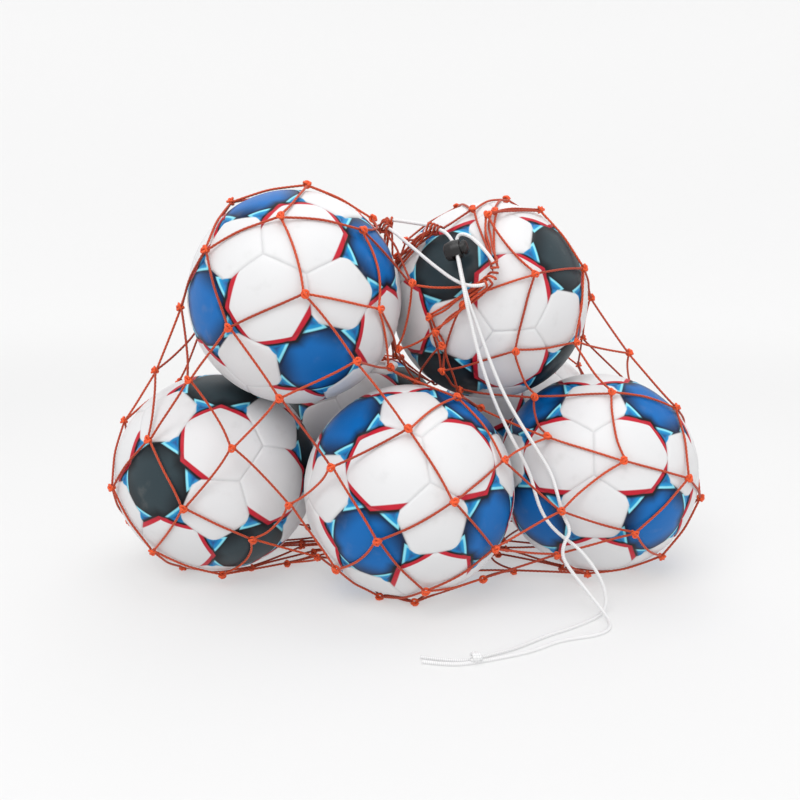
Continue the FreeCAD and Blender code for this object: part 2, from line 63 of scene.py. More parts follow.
# the balls' centres, in millimetres
BALLS = {
    "front_middle": (2.0, -139.2, 110.0),
    "front_left": (-213.3, -76.4, 110.0),
    "front_right": (213.3, -74.4, 110.0),
    "back_left": (-56.2, 79.0, 110.0),
    "back_right": (156.5, 139.2, 110.0),
    "top_left": (-116.2, -103.3, 306.7),
    "top_right": (92.6, -31.6, 296.9),
}


# ---------------------------------------------------------------- building materials

class Graph:
    """Short names for building a material's nodes."""

    def __init__(self, name):
        self.material = bpy.data.materials.new(name)
        self.material.use_nodes = True
        self.tree = self.material.node_tree
        self.shader = self.tree.nodes["Principled BSDF"]

    def node(self, kind, **settings):
        made = self.tree.nodes.new(kind)
        for key, value in settings.items():
            setattr(made, key, value)
        return made

    def plug(self, socket, value):
        if isinstance(value, bpy.types.NodeSocket):
            self.tree.links.new(value, socket)
        else:
            socket.default_value = value

    def math(self, operation, *values, clamp=False):
        made = self.node("ShaderNodeMath", operation=operation, use_clamp=clamp)
        for socket, value in zip(made.inputs, values):
            self.plug(socket, value)
        return made.outputs[0]

    def add(self, a, b):
        return self.math("ADD", a, b)

    def sub(self, a, b):
        return self.math("SUBTRACT", a, b)

    def times(self, a, b):
        return self.math("MULTIPLY", a, b)

    def over(self, a, b):
        return self.math("DIVIDE", a, b)

    def largest(self, *values):
        top = values[0]
        for value in values[1:]:
            top = self.math("MAXIMUM", top, value)
        return top

    def least(self, *values):
        low = values[0]
        for value in values[1:]:
            low = self.math("MINIMUM", low, value)
        return low

    def attribute(self, name, output="Vector"):
        return self.node("ShaderNodeAttribute", attribute_name=name).outputs[output]

    def inside(self, distance, soft):
        """1 where a signed distance is below 0, 0 above it, with a soft edge."""
        return self.math("MULTIPLY_ADD", distance, -0.5 / soft, 0.5, clamp=True)

    def ramp(self, value, low, high):
        made = self.node("ShaderNodeMapRange", interpolation_type="SMOOTHSTEP", clamp=True)
        self.plug(made.inputs["Value"], value)
        made.inputs["From Min"].default_value = low
        made.inputs["From Max"].default_value = high
        return made.outputs["Result"]

    def mix(self, share, a, b):
        made = self.node("ShaderNodeMix", data_type="RGBA")
        self.plug(made.inputs["Factor"], share)
        self.plug(made.inputs["A"], a)
        self.plug(made.inputs["B"], b)
        return made.outputs["Result"]

    def noise(self, scale, detail):
        made = self.node("ShaderNodeTexNoise")
        made.inputs["Scale"].default_value = scale
        made.inputs["Detail"].default_value = detail
        self.plug(made.inputs["Vector"], self.node("ShaderNodeTexCoord").outputs["Object"])
        return made.outputs["Fac"]

    def bump(self, height, distance, strength):
        made = self.node("ShaderNodeBump")
        made.inputs["Strength"].default_value = strength
        made.inputs["Distance"].default_value = distance
        self.plug(made.inputs["Height"], height)
        self.plug(self.shader.inputs["Normal"], made.outputs["Normal"])

    def finish(self, **sockets):
        for name, value in sockets.items():
            self.plug(self.shader.inputs[name.replace("_", " ")], value)
        return self.material


def paint(red, green, blue):
    """Linear colour from the usual 0 to 255 display values."""
    def linear(value):
        value /= 255
        return value / 12.92 if value <= 0.04045 else ((value + 0.055) / 1.055) ** 2.4
    return (linear(red), linear(green), linear(blue), 1.0)


# ---------------------------------------------------------------- camera, floor and light

CAMERA_PLACE = (-0.0076, -0.9421, 0.3773)
CAMERA_DOWN = 12.056    # degrees that it looks down by
SENSOR_WIDTH = 36
LENS = 36               # millimetres, as the sensor

FLOOR_RADIUS = 2.6      # of the flat middle
FLOOR_BEND = 1.4        # radius of the curve from the floor up to the wall
BEND_STEPS = 12
FLOOR_SIDES = 64
WALL_TOP = 3.6
FLOOR_TONE = 0.42
FLOOR_GLOW = 0.395      # at the middle; the wall glows by WALL_GLOW more
WALL_GLOW = 0.13
GLOW_FROM, GLOW_TO = 0.9, 2.9

WORLD_LIGHT = 0.42
EXPOSURE = 0.1
# each area light: its place, what it points at, its two sizes and its watts
LIGHTS = {
    "key": ((-0.7, -1.6, 2.3), (0.0, -0.05, 0.2), (1.6, 1.2), 28),
    "top": ((0.3, 0.2, 2.6), (0.0, 0.0, 0.2), (2.2, 2.2), 25),
    "fill": ((1.9, -1.5, 1.0), (0.0, 0.0, 0.2), (1.4, 1.4), 5),
    "back": ((0.0, 2.0, 2.0), (0.0, 0.0, 0.3), (2.5, 1.2), 6),
}


def make_camera():
    data = bpy.data.cameras.new("camera")
    data.sensor_width = SENSOR_WIDTH
    data.lens = LENS
    camera = bpy.data.objects.new("camera", data)
    camera.location = CAMERA_PLACE
    camera.rotation_euler = (math.radians(90 - CAMERA_DOWN), 0, 0)
    scene.collection.objects.link(camera)
    scene.camera = camera


def area_light(name, place, look, size, power):
    data = bpy.data.lights.new(name, "AREA")
    data.shape = "RECTANGLE"
    data.size, data.size_y = size
    data.energy = power
    lamp = bpy.data.objects.new(name, data)
    lamp.location = place
    lamp.rotation_euler = (Vector(look) - Vector(place)).to_track_quat("-Z", "Y").to_euler()
    scene.collection.objects.link(lamp)


def make_floor():
    """A round pale floor that curves up into a backdrop on every side."""
    outline = [(0.0, 0.0), (FLOOR_RADIUS, 0.0)]
    for step in range(1, BEND_STEPS + 1):
        turn = math.radians(90 * step / BEND_STEPS)
        outline.append((FLOOR_RADIUS + FLOOR_BEND * math.sin(turn), FLOOR_BEND * (1 - math.cos(turn))))
    outline.append((FLOOR_RADIUS + FLOOR_BEND, WALL_TOP))
    verts, faces = [], []
    for side in range(FLOOR_SIDES):
        turn = 2 * math.pi * side / FLOOR_SIDES
        verts += [(r * math.cos(turn), r * math.sin(turn), z) for r, z in outline]
    for side in range(FLOOR_SIDES):
        here, there = side * len(outline), (side + 1) % FLOOR_SIDES * len(outline)
        faces += [(here + n, here + n + 1, there + n + 1, there + n) for n in range(len(outline) - 1)]
    mesh = bpy.data.meshes.new("floor")
    mesh.from_pydata(verts, [], faces)
    for face in mesh.polygons:
        face.use_smooth = True
    floor = bpy.data.objects.new("floor", mesh)
    scene.collection.objects.link(floor)
    g = Graph("floor")
    reach = g.node("ShaderNodeVectorMath", operation="LENGTH")
    g.plug(reach.inputs[0], g.node("ShaderNodeTexCoord").outputs["Object"])
    glow = g.math("MULTIPLY_ADD", g.ramp(reach.outputs["Value"], GLOW_FROM, GLOW_TO), WALL_GLOW, FLOOR_GLOW)
    mesh.materials.append(g.finish(
        Base_Color=(FLOOR_TONE, FLOOR_TONE, FLOOR_TONE, 1.0), Roughness=0.9, Specular_IOR_Level=0.0,
        Emission_Color=(1.0, 1.0, 1.0, 1.0), Emission_Strength=glow))


def make_light():
    world = bpy.data.worlds.new("studio")
    world.use_nodes = True
    background = world.node_tree.nodes["Background"]
    background.inputs["Color"].default_value = (1, 1, 1, 1)
    background.inputs["Strength"].default_value = WORLD_LIGHT
    scene.world = world
    for name, (place, look, size, power) in LIGHTS.items():
        area_light(name, place, look, size, power)
    scene.view_settings.view_transform = "Standard"
    scene.view_settings.look = "None"
    scene.view_settings.exposure = EXPOSURE


make_camera()
make_floor()
make_light()


# ---------------------------------------------------------------- materials

def twine_material():
    g = Graph("twine")
    crest = g.attribute("crest", "Fac")
    shade = g.attribute("shade", "Fac")
    fibres = g.noise(1400.0, 3.0)
    # painted shade: deep is the twine darkened in the grooves between its strands, bright is its colour on
    # the strands' crests
    deep, bright = paint(112, 30, 9), paint(240, 80, 20)
    colour = g.mix(g.ramp(crest, 0.0, 0.8), deep, bright)
    worn = g.mix(g.times(fibres, 0.45), colour, paint(250, 112, 54))
    # partly tone that differs at random from bar to bar, partly painted shade: the bars are kept darker than
    # the knots
    tone = g.mix(shade, worn, paint(150, 42, 12))
    g.bump(fibres, 0.00025, 0.6)
    rough = g.math("MULTIPLY_ADD", fibres, 0.25, 0.5)
    return g.finish(Base_Color=tone, Roughness=rough, Sheen_Weight=0.25, Sheen_Roughness=0.4)


def cord_material():
    g = Graph("cord")
    crest = g.attribute("crest", "Fac")
    fibres = g.noise(2200.0, 3.0)
    soiled = g.noise(38.0, 2.0)
    # painted shade: the cord's white darkens from the braid's crests into the grooves between its strands
    colour = g.mix(g.ramp(crest, 0.0, 0.7), paint(202, 202, 205), paint(234, 234, 234))
    tone = g.mix(g.times(soiled, 0.22), colour, paint(204, 202, 198))
    g.bump(fibres, 0.0002, 0.5)
    rough = g.math("MULTIPLY_ADD", fibres, 0.2, 0.62)
    return g.finish(Base_Color=tone, Roughness=rough, Sheen_Weight=0.3, Sheen_Roughness=0.4)


def plastic_material(name, colour, rough):
    g = Graph(name)
    grain = g.noise(2600.0, 2.0)
    scuff = g.noise(160.0, 4.0)
    worn = tuple(min(1.0, part * 1.9 + 0.006) for part in colour[:3]) + (1.0,)
    tone = g.mix(g.ramp(scuff, 0.52, 0.75), colour, worn)
    g.bump(grain, 0.00012, 0.5)
    return g.finish(Base_Color=tone, Roughness=g.math("MULTIPLY_ADD", scuff, 0.22, rough - 0.11))


def rubber_material():
    g = Graph("rubber")
    grain = g.noise(1500.0, 2.0)
    g.bump(grain, 0.0002, 0.5)
    tone = g.mix(grain, paint(22, 22, 22), paint(40, 40, 40))
    return g.finish(Base_Color=tone, Roughness=g.math("MULTIPLY_ADD", grain, 0.2, 0.6))


def steel_material():
    g = Graph("spring_steel")
    streak = g.noise(900.0, 2.0)
    tone = g.mix(streak, paint(150, 150, 155), paint(200, 200, 205))
    return g.finish(Base_Color=tone, Roughness=g.math("MULTIPLY_ADD", streak, 0.15, 0.25), Metallic=1.0)


# The balls' print, with the ball's radius as 1. It is the same at each end of the ball's own X, Y and Z axes:
# a white double panel across the axis, and a pentagon at each end of the panel's middle seam.
PENT_UP = 0.5257        # a pentagon's middle is this far across from the axis
PENT_OUT = 0.8507       # and this far out along it
PENT_SIDE = 0.2958      # from a pentagon's middle to its side
PENT_CUT = 0.328        # from there to where its corner is cut off
POINT_FOOT = 0.297      # a coloured point: from the pentagon's middle to its wide end
POINT_TIP = 0.572       # and to its tip
POINT_SLOPE = 0.46      # half its width, for each unit of its length
POINT_UNIT = 0.91       # turns the measure of its sides into a distance
SHIELD_HALF = 0.362     # half the height of a white double panel
SHIELD_TIP = 0.915      # half its length
SHIELD_SLOPE = 0.877    # how its ends slope to the tip
SHIELD_UNIT = 0.72      # turns the tip's measure into a distance
SHALLOW = 0.05          # the least number that a direction is divided by

# widths of the bands round the shapes, with the ball's radius as 1
SOFT_EDGE = 0.006
RED_BAND = 0.056
BLACK_BAND = 0.092
BLACK_SOFT = 0.014
POINT_BAND = 0.024
POINT_SHADOW = 0.02


def towards(degrees):
    return math.cos(math.radians(degrees)), math.sin(math.radians(degrees))


def print_shapes(g):
    """How far outside the double panels, pentagons, cut pentagons and coloured points a place is."""
    parts = g.node("ShaderNodeSeparateXYZ")
    g.plug(parts.inputs[0], g.attribute("print"))
    x, y, z = (g.math("ABSOLUTE", parts.outputs[k]) for k in range(3))
    shields, pents, whites, points = [], [], [], []
    for a, b, c in ((x, y, z), (y, z, x), (z, x, y)):
        depth = g.math("MAXIMUM", c, SHALLOW)
        u, v = g.over(a, depth), g.over(b, depth)
        top = g.sub(v, SHIELD_HALF)
        tip = g.times(g.sub(g.add(g.over(u, SHIELD_TIP), g.times(v, SHIELD_SLOPE)), 1.0), SHIELD_UNIT)
        shields.append(g.largest(top, tip))
        # flat coordinates on the pentagon whose corner points at this axis
        height = g.math("MAXIMUM", g.add(g.times(b, PENT_UP), g.times(c, PENT_OUT)), SHALLOW)
        p = g.over(a, height)
        q = g.over(g.sub(g.times(b, PENT_OUT), g.times(c, PENT_UP)), height)

        def along(degrees):
            cos, sin = towards(degrees)
            return g.add(g.times(p, cos), g.times(q, sin))

        side = g.sub(g.largest(along(-54), along(18), along(90)), PENT_SIDE)
        cut = g.sub(g.largest(along(-18), along(54)), PENT_CUT)
        pents.append(side)
        whites.append(g.largest(side, cut))
        for corner in (-18, 54):
            out, across = along(corner), g.math("ABSOLUTE", along(corner + 90))
            wedge = g.sub(across, g.times(g.sub(POINT_TIP, out), POINT_SLOPE))
            points.append(g.largest(g.times(wedge, POINT_UNIT), g.sub(POINT_FOOT, out)))
    return [g.least(*shapes) for shapes in (shields, pents, whites, points)]


def ball_material(name, dark, darker, field):
    """Printed cover: white pentagons, coloured points at their corners, white double panels in outline."""
    g = Graph(name)
    shield, pent, white, point = print_shapes(g)
    seam = g.attribute("seam", "Fac")
    ground = g.mix(g.ramp(pent, -0.02, 0.25), dark, field)
    rim = g.mix(g.ramp(shield, 0.06, 0.24), darker, ground)
    colour = g.mix(g.inside(g.sub(point, POINT_SHADOW), POINT_SHADOW), rim, darker)
    colour = g.mix(g.inside(point, SOFT_EDGE), colour, paint(132, 216, 234))
    core = g.mix(g.ramp(point, -0.085, -0.03), paint(12, 84, 150), paint(22, 140, 196))
    colour = g.mix(g.inside(g.add(point, POINT_BAND), SOFT_EDGE), colour, core)
    colour = g.mix(g.inside(g.sub(shield, BLACK_BAND), BLACK_SOFT), colour, paint(10, 13, 20))
    colour = g.mix(g.inside(g.sub(shield, RED_BAND), SOFT_EDGE), colour, paint(186, 26, 46))
    pale = g.mix(g.noise(9.0, 2.0), paint(213, 213, 214), paint(222, 222, 223))
    colour = g.mix(g.inside(shield, SOFT_EDGE), colour, pale)
    colour = g.mix(g.inside(white, SOFT_EDGE), colour, pale)
    colour = g.mix(g.times(seam, 0.16), colour, paint(86, 88, 94))
    scuff = g.noise(55.0, 4.0)
    colour = g.mix(g.times(g.ramp(scuff, 0.56, 0.8), 0.12), colour, paint(150, 146, 140))
    g.bump(g.noise(1300.0, 2.0), 0.00018, 0.45)
    rough = g.math("MULTIPLY_ADD", scuff, 0.2, 0.36)
    return g.finish(Base_Color=colour, Roughness=rough, Specular_IOR_Level=0.22, Coat_Weight=0.04,
                    Coat_Roughness=0.25)


TWINE = twine_material()
CORD = cord_material()
LOCK_PLASTIC = plastic_material("lock_plastic", paint(15, 15, 16), 0.4)
RUBBER = rubber_material()
STEEL = steel_material()
BLUE_BALL = ball_material("ball_blue", paint(4, 26, 58), paint(3, 18, 42), paint(0, 100, 174))
CHARCOAL_BALL = ball_material("ball_charcoal", paint(14, 20, 26), paint(10, 14, 20), paint(44, 58, 64))


# ---------------------------------------------------------------- lines and tubes

def nurbs_line(points, resolution=24):
    """The points of a smooth line that has the route's points as its control points."""
    data = bpy.data.curves.new("line", "CURVE")
    data.dimensions = "3D"
    data.resolution_u = resolution
    spline = data.splines.new("NURBS")
    spline.points.add(len(points) - 1)
    for target, point in zip(spline.points, points):
        target.co = (*point, 1.0)
    spline.order_u = 3
    spline.use_endpoint_u = True
    item = bpy.data.objects.new("line", data)
    scene.collection.objects.link(item)
    bpy.context.view_layer.update()
    mesh = bpy.data.meshes.new_from_object(item)
    line = np.array([vertex.co for vertex in mesh.vertices])
    bpy.data.objects.remove(item)
    bpy.data.curves.remove(data)
    bpy.data.meshes.remove(mesh)
    return line


def resampled(line, step):
    """The same line with points a fixed step apart."""
    gaps = np.linalg.norm(np.diff(line, axis=0), axis=1)
    keep = np.concatenate([[True], gaps > 1e-7])
    line = line[keep]
    along = np.concatenate([[0.0], np.cumsum(np.linalg.norm(np.diff(line, axis=0), axis=1))])
    count = max(2, int(round(along[-1] / step)) + 1)
    wanted = np.linspace(0, along[-1], count)
    return np.stack([np.interp(wanted, along, line[:, k]) for k in range(3)], axis=1)


def smoothed(line, passes):
    line = line.copy()
    for _ in range(passes):
        line[1:-1] = line[1:-1] * 0.5 + (line[:-2] + line[2:]) * 0.25
    return line


def side_frames(line):
    """Two sideways directions at each point of a line, turning as little as they can."""
    ways = np.gradient(line, axis=0)
    ways /= np.linalg.norm(ways, axis=1)[:, None]
    first = np.cross(ways[0], [0.0, 0.0, 1.0])
    if np.linalg.norm(first) < 0.1:
        first = np.cross(ways[0], [0.0, 1.0, 0.0])
    sides = np.empty_like(line)
    side = first / np.linalg.norm(first)
    for n, way in enumerate(ways):
        side = side - way * side.dot(way)
        side = side / np.linalg.norm(side)
        sides[n] = side
    return sides, np.cross(ways, sides)


class Tubes:
    """Tubes swept along lines, gathered into one mesh."""

    def __init__(self):
        self.verts, self.quads, self.caps, self.crest, self.shade = [], [], [], [], []
        self.count = 0

    def sweep(self, line, angles, radii, crest, shade=0.0):
        """angles, radii and crest are one row of ring values for each point of the line."""
        sides, ups = side_frames(line)
        ring = radii.shape[1]
        out = np.cos(angles)[:, :, None] * sides[:, None, :] + np.sin(angles)[:, :, None] * ups[:, None, :]
        self.verts.append((line[:, None, :] + out * radii[:, :, None]).reshape(-1, 3))
        self.crest.append(crest.reshape(-1))
        self.shade.append(np.full(crest.size, shade))
        rows, columns = np.meshgrid(np.arange(len(line) - 1), np.arange(ring), indexing="ij")
        right = (columns + 1) % ring
        quads = np.stack([rows * ring + columns, rows * ring + right,
                          (rows + 1) * ring + right, (rows + 1) * ring + columns], axis=-1)
        self.quads.append(quads.reshape(-1, 4) + self.count)
        last = self.count + (len(line) - 1) * ring
        self.caps.append(list(range(self.count + ring - 1, self.count - 1, -1)))
        self.caps.append(list(range(last, last + ring)))
        self.count += len(line) * ring

    def piece(self, name, material):
        verts = np.concatenate(self.verts)
        faces = np.concatenate(self.quads).tolist() + self.caps
        mesh = bpy.data.meshes.new(name)
        mesh.from_pydata(verts.tolist(), [], faces)
        for key, values in (("crest", self.crest), ("shade", self.shade)):
            layer = mesh.attributes.new(key, "FLOAT", "POINT")
            layer.data.foreach_set("value", np.concatenate(values).astype(np.float32))
        mesh.shade_smooth()
        mesh.materials.append(material)
        made = bpy.data.objects.new(name, mesh)
        scene.collection.objects.link(made)
        return made


TWINE_STRANDS = 3
TWINE_LAY = 13 * MM     # length of one full twist
TWINE_GROOVE = 0.24     # depth between the strands, as a share of the radius
TWINE_STEP = 1.3 * MM
TWINE_SIDES = 12


def add_twine(tubes, line, radius=TWINE_RADIUS, step=TWINE_STEP, phase=0.0, shade=0.0, ring=TWINE_SIDES):
    """Three-strand twine laid along a line."""
    line = resampled(line, step)
    along = np.arange(len(line)) * step
    base = np.arange(ring) * 2 * math.pi / ring
    lobe = np.abs(np.cos(base * TWINE_STRANDS / 2)) ** 0.8
    radii = radius * (1 - TWINE_GROOVE + TWINE_GROOVE * lobe)
    angles = base[None, :] + phase + along[:, None] * 2 * math.pi / TWINE_LAY
    shape = (len(line), ring)
    tubes.sweep(line, angles, np.broadcast_to(radii, shape), np.broadcast_to(lobe, shape), shade)


BRAID_STRANDS = 4       # each way round
BRAID_TURN = 0.8 / CORD_RADIUS      # radians that a strand turns for each metre
BRAID_GROOVE = 0.06
BRAID_STEP = 0.5 * MM
BRAID_SIDES = 24


def add_braid(tubes, line):
    """Round braided cord laid along a line."""
    line = resampled(line, BRAID_STEP)
    turned = (np.arange(len(line)) * BRAID_STEP)[:, None] * BRAID_TURN
    base = (np.arange(BRAID_SIDES) * 2 * math.pi / BRAID_SIDES)[None, :]
    crest = (np.cos(BRAID_STRANDS * (base + turned)) * np.cos(BRAID_STRANDS * (base - turned)) + 1) / 2
    radii = CORD_RADIUS * (1 - BRAID_GROOVE + BRAID_GROOVE * crest)
    tubes.sweep(line, np.broadcast_to(base, crest.shape), radii, crest)


# ---------------------------------------------------------------- the drawstring

def unit(vector):
    vector = np.array(vector, float)
    return vector / np.linalg.norm(vector)


# The cord lock lies on the top right ball: OUT points away from the ball, CHANNEL runs up the lock's cord
# hole, and BARREL runs along its barrel towards the button.
LOCK_OUT = 127.0        # from the ball's centre to the lock's middle
OUT = unit((-0.3466, -0.808, 0.476))
RISE = unit(np.array([0, 0, 1.0]) - OUT * OUT[2])
SIDE = unit(np.cross(RISE, OUT))
TILT = math.radians(20)
CHANNEL = RISE * math.cos(TILT) - SIDE * math.sin(TILT)
BARREL = SIDE * math.cos(TILT) + RISE * math.sin(TILT)
LOCK = np.array(BALLS["top_right"]) + OUT * LOCK_OUT
STRAND = OUT * 2.0      # from the middle of the hole to each of the two cords in it

# The drawstring's routes, in millimetres: up through the lock, round the bunched loops of the net's mouth and
# back down, and each free end from the lock to the floor.
MOUTH = [
    LOCK - CHANNEL * 16 + STRAND,
    LOCK + CHANNEL * 14 + STRAND,
    (58, -137, 374),
    (75, -146, 358),
    (86, -150, 343),
    (84, -152, 328),
    (68, -153, 322),
    (50, -147, 325),
    (27, -126, 341),
    (5, -105, 359),
    (-13, -90, 374),
    (-25, -79, 382),
    (-22, -67, 387),
    (-8, -70, 386),
    (10, -84, 383),
    (25, -99, 381),
    LOCK + CHANNEL * 16 - STRAND,
    LOCK - CHANNEL * 16 - STRAND,
]
END_A = [
    LOCK - CHANNEL * 16 + STRAND,
    LOCK - CHANNEL * 50 + STRAND,
    (61, -161, 290),
    (71, -162, 252),
    (86, -158, 210),
    (104, -155, 173),
    (125, -159, 135),
    (132, -169, 106),
    (141, -176, 88),
    (155, -179, 74),
    (172, -183, 63),
    (187, -189, 46),
    (197, -194, 28),
    (200, -200, 9),
    (190, -211, 1.9),
    (173, -224, 1.9),
    (154, -237, 1.9),
    (132, -249, 1.9),
    (110, -265, 1.9),
    (93, -276, 1.9),
    (75, -284, 1.9),
    (60, -293, 1.9),
    (38, -296, 1.9),
    (11, -288, 1.9),
]
END_B = [
    LOCK - CHANNEL * 16 - STRAND,
    LOCK - CHANNEL * 50 - STRAND,
    (68, -156, 286),
    (82, -157, 248),
    (98, -157, 212),
    (115, -158, 184),
    (131, -161, 159),
    (145, -165, 137),
    (151, -176, 116),
    (156, -180, 96),
    (164, -186, 82),
    (156, -190, 70),
    (155, -190, 56),
    (164, -194, 42),
    (175, -199, 29),
    (187, -208, 15),
    (197, -222, 4),
    (194, -238, 1.9),
    (178, -249, 1.9),
    (158, -254, 1.9),
    (140, -260, 1.9),
    (125, -270, 1.9),
    (110, -279, 1.9),
    (87, -288, 1.9),
    (60, -297, 1.9),
    (37, -302, 1.9),
    (12, -296, 1.9),
]


def metres(points):
    return [tuple(float(c) * MM for c in point) for point in points]


def cord_piece(name, points, node):
    line = nurbs_line(metres(points))
    tubes = Tubes()
    add_braid(tubes, line)
    made = tubes.piece(name, CORD)
    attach(made, "net_and_cord")
    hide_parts(node)
    return made, line


# the knot near the two free ends, in millimetres
END_KNOT = (60, -295, 5.6)
END_KNOT_LENGTH = 7.4
END_KNOT_RADIUS = 3.3
END_KNOT_TURNS = 1.5
END_KNOT_CORE = (6.0, 2.0, 0.8)     # how far the cord inside it runs along, across and up


def tied_knot():
    """The overhand knot that ties the two free ends: both cords wound round a short core."""
    centre = np.array(END_KNOT)
    tubes = Tubes()
    share = np.linspace(0, 1, 40)
    for start in (0.0, math.pi):
        turn = start + share * 2 * math.pi * END_KNOT_TURNS
        across, up = np.cos(turn) * END_KNOT_RADIUS, np.sin(turn) * END_KNOT_RADIUS
        line = np.stack([(share - 0.5) * END_KNOT_LENGTH, across, up], axis=1)
        add_braid(tubes, (line + centre) * MM)
    share = np.linspace(0, 1, 24)
    core = np.stack([share - 0.5, share - 0.5, np.sin(share * math.pi)], axis=1) * END_KNOT_CORE
    add_braid(tubes, (core + centre) * MM)
    made = tubes.piece("cord_knot", CORD)
    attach(made, "net_and_cord")
    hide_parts("drawstring_end_knot")
    return made


cord_piece("mouth_cord", MOUTH, "drawstring_loop")
end_a, line_a = cord_piece("cord_end_a", END_A, "drawstring_end_a")
end_b, line_b = cord_piece("cord_end_b", END_B, "drawstring_end_b")
end_knot = tied_knot()


# ---------------------------------------------------------------- the net

SLICES = 5              # of a bar that is too short to follow ring by ring


def node_parts(node):
    """The separate solids of a CAD node: for each, its points and the pairs that its edges join."""
    mesh = NODES[node].data
    points = np.zeros(len(mesh.vertices) * 3)
    mesh.vertices.foreach_get("co", points)
    points, where = np.unique(points.reshape(-1, 3).round(6), axis=0, return_inverse=True)
    where = where.ravel()
    edges = np.zeros(len(mesh.edges) * 2, int)
    mesh.edges.foreach_get("vertices", edges)
    edges = where[edges].reshape(-1, 2)
    edges = edges[edges[:, 0] != edges[:, 1]]
    # give every point the lowest number among those that it is joined to
    label = np.arange(len(points))
    while True:
        low = np.minimum(label[edges[:, 0]], label[edges[:, 1]])
        new = label.copy()
        np.minimum.at(new, edges[:, 0], low)
        np.minimum.at(new, edges[:, 1], low)
        new = new[new]
        if (new == label).all():
            break
        label = new
    order = np.argsort(label, kind="stable")
    starts = np.flatnonzero(np.diff(label[order], prepend=-1))
    groups = np.split(order, starts[1:])
    edge_order = np.argsort(label[edges[:, 0]], kind="stable")
    edge_label = label[edges[:, 0]][edge_order]
    found = []
    for group in groups:
        low, high = np.searchsorted(edge_label, [label[group[0]], label[group[0]] + 1])
        found.append((points[group], np.searchsorted(group, edges[edge_order[low:high]])))
    return found


def next_ring(points, edges, ring, seen):
    """The points not yet seen that edges join to a ring of points."""
    touched = np.zeros(len(points), bool)
    touched[edges[ring[edges[:, 0]], 1]] = True
    touched[edges[ring[edges[:, 1]], 0]] = True
    return touched & ~seen


def end_ring(points, edges, knots):
    """The ring of points at an end of a swept tube, which lies in a knot, or None if there is no clear one.

    A ring's points lie within a diameter of each other, and an end ring has a neighbour on one side only.
    """
    near = np.linalg.norm(points[:, None, :] - knots[None, :, :], axis=2).min(axis=1)
    for number in np.argsort(near):
        ring = np.linalg.norm(points - points[number], axis=1) < 2.02 * TWINE_RADIUS
        middle = points[ring].mean(axis=0)
        reach = np.linalg.norm(points[ring] - middle, axis=1)
        one_sided = next_ring(points, edges, ring, ring).sum() < 1.5 * ring.sum()
        if abs(reach - TWINE_RADIUS).max() < 0.05 * TWINE_RADIUS and one_sided:
            return ring
    return None


def sliced(points):
    """The line through a bar too short to show its end rings."""
    middle = points.mean(axis=0)
    axis = np.linalg.svd(points - middle, full_matrices=False)[2][0]
    order = np.argsort((points - middle) @ axis)
    return np.array([points[part].mean(axis=0) for part in np.array_split(order, SLICES)])


def centreline(points, edges, knots):
    """The line through the rings of a swept tube, from one of its ends to the other."""
    ring = end_ring(points, edges, knots)
    if ring is None:
        return sliced(points)
    seen = ring.copy()
    line = []
    while ring.any():
        line.append(points[ring].mean(axis=0))
        ring = next_ring(points, edges, ring, seen)
        seen |= ring
    return np.array(line)


# a knot's strands, in millimetres across, outward from the ball and up the net
KNOT_STRAND = [(-2.3, 0.0, 1.4), (-2.5, -0.2, 0.6), (-2.6, 1.2, -0.8), (-1.9, 2.0, -2.4), (0.0, 2.2, -3.0),
               (1.9, 2.0, -2.4), (1.3, 1.2, -0.6), (1.6, -0.4, 0.6), (2.3, 0.0, 1.4)]
KNOT_BACK = [(-2.8, -0.6, -1.3), (-1.6, -2.1, -0.9), (0.0, -2.6, 0.0), (1.6, -2.1, 0.9), (2.8, -0.6, 1.3)]
KNOT_FRONT = [(-3.0, 0.6, -1.9), (-1.4, 2.7, -1.0), (0.0, 3.1, 0.0), (1.4, 2.7, 1.0), (3.0, 0.6, 1.9)]
KNOT_CORE = [(-2.2, 0.2, 0.8), (0.0, 0.8, 0.0), (2.2, 0.2, -0.8)]
KNOT_RADIUS = 1.42 * MM
KNOT_SCALE = 1.14
KNOT_LIFT = np.array([0.0, 0.7, 0.0]) * MM
KNOT_STEP = 1.15 * MM
KNOT_SIDES = 9
KNOT_TILT = 10          # degrees that a knot may lean either way
KNOT_REACH = 3.3 * MM   # a bar that ends nearer than this to a knot's middle is tied in it

COURSES = 14
BAR_SMOOTHING = 6
BASE_TWINE_RADIUS = 1.5 * MM
NET_SEED = 7


def knot_lines():
    """The strands of a knot, in its own axes: across, outward and up the net."""
    def line(points):
        return nurbs_line([np.array(point) * MM * KNOT_SCALE + KNOT_LIFT for point in points], 4)
    strand = line(KNOT_STRAND)
    return strand, strand * np.array([-1.0, 1.0, -1.0]), line(KNOT_BACK), line(KNOT_FRONT), line(KNOT_CORE)


def nearest_ball(point):
    centres = np.array(list(BALLS.values())) * MM
    return centres[np.argmin(np.linalg.norm(centres - point, axis=1))]


def knot_axes(centre, ends):
    """Directions across, outward and up at a knot, from where its four bars start."""
    away = unit(centre - nearest_ball(centre))
    if len(ends) != 4:
        level = unit(np.cross(away, (0.1, 0.2, 1.0)))
        return level, away, np.cross(away, level)
    order = sorted(ends, key=lambda end: end[0])
    upper, lower = [end[1] for end in order[:2]], [end[1] for end in order[2:]]
    across = upper[0] - upper[1]
    other = lower[0] - lower[1]
    across = unit(across + other * np.sign(across.dot(other)))
    up = upper[0] + upper[1] - lower[0] - lower[1]
    up = unit(up - across * across.dot(up))
    outward = np.cross(across, up)
    if outward.dot(away) < 0:
        across, outward = -across, -outward
    return across, outward, up


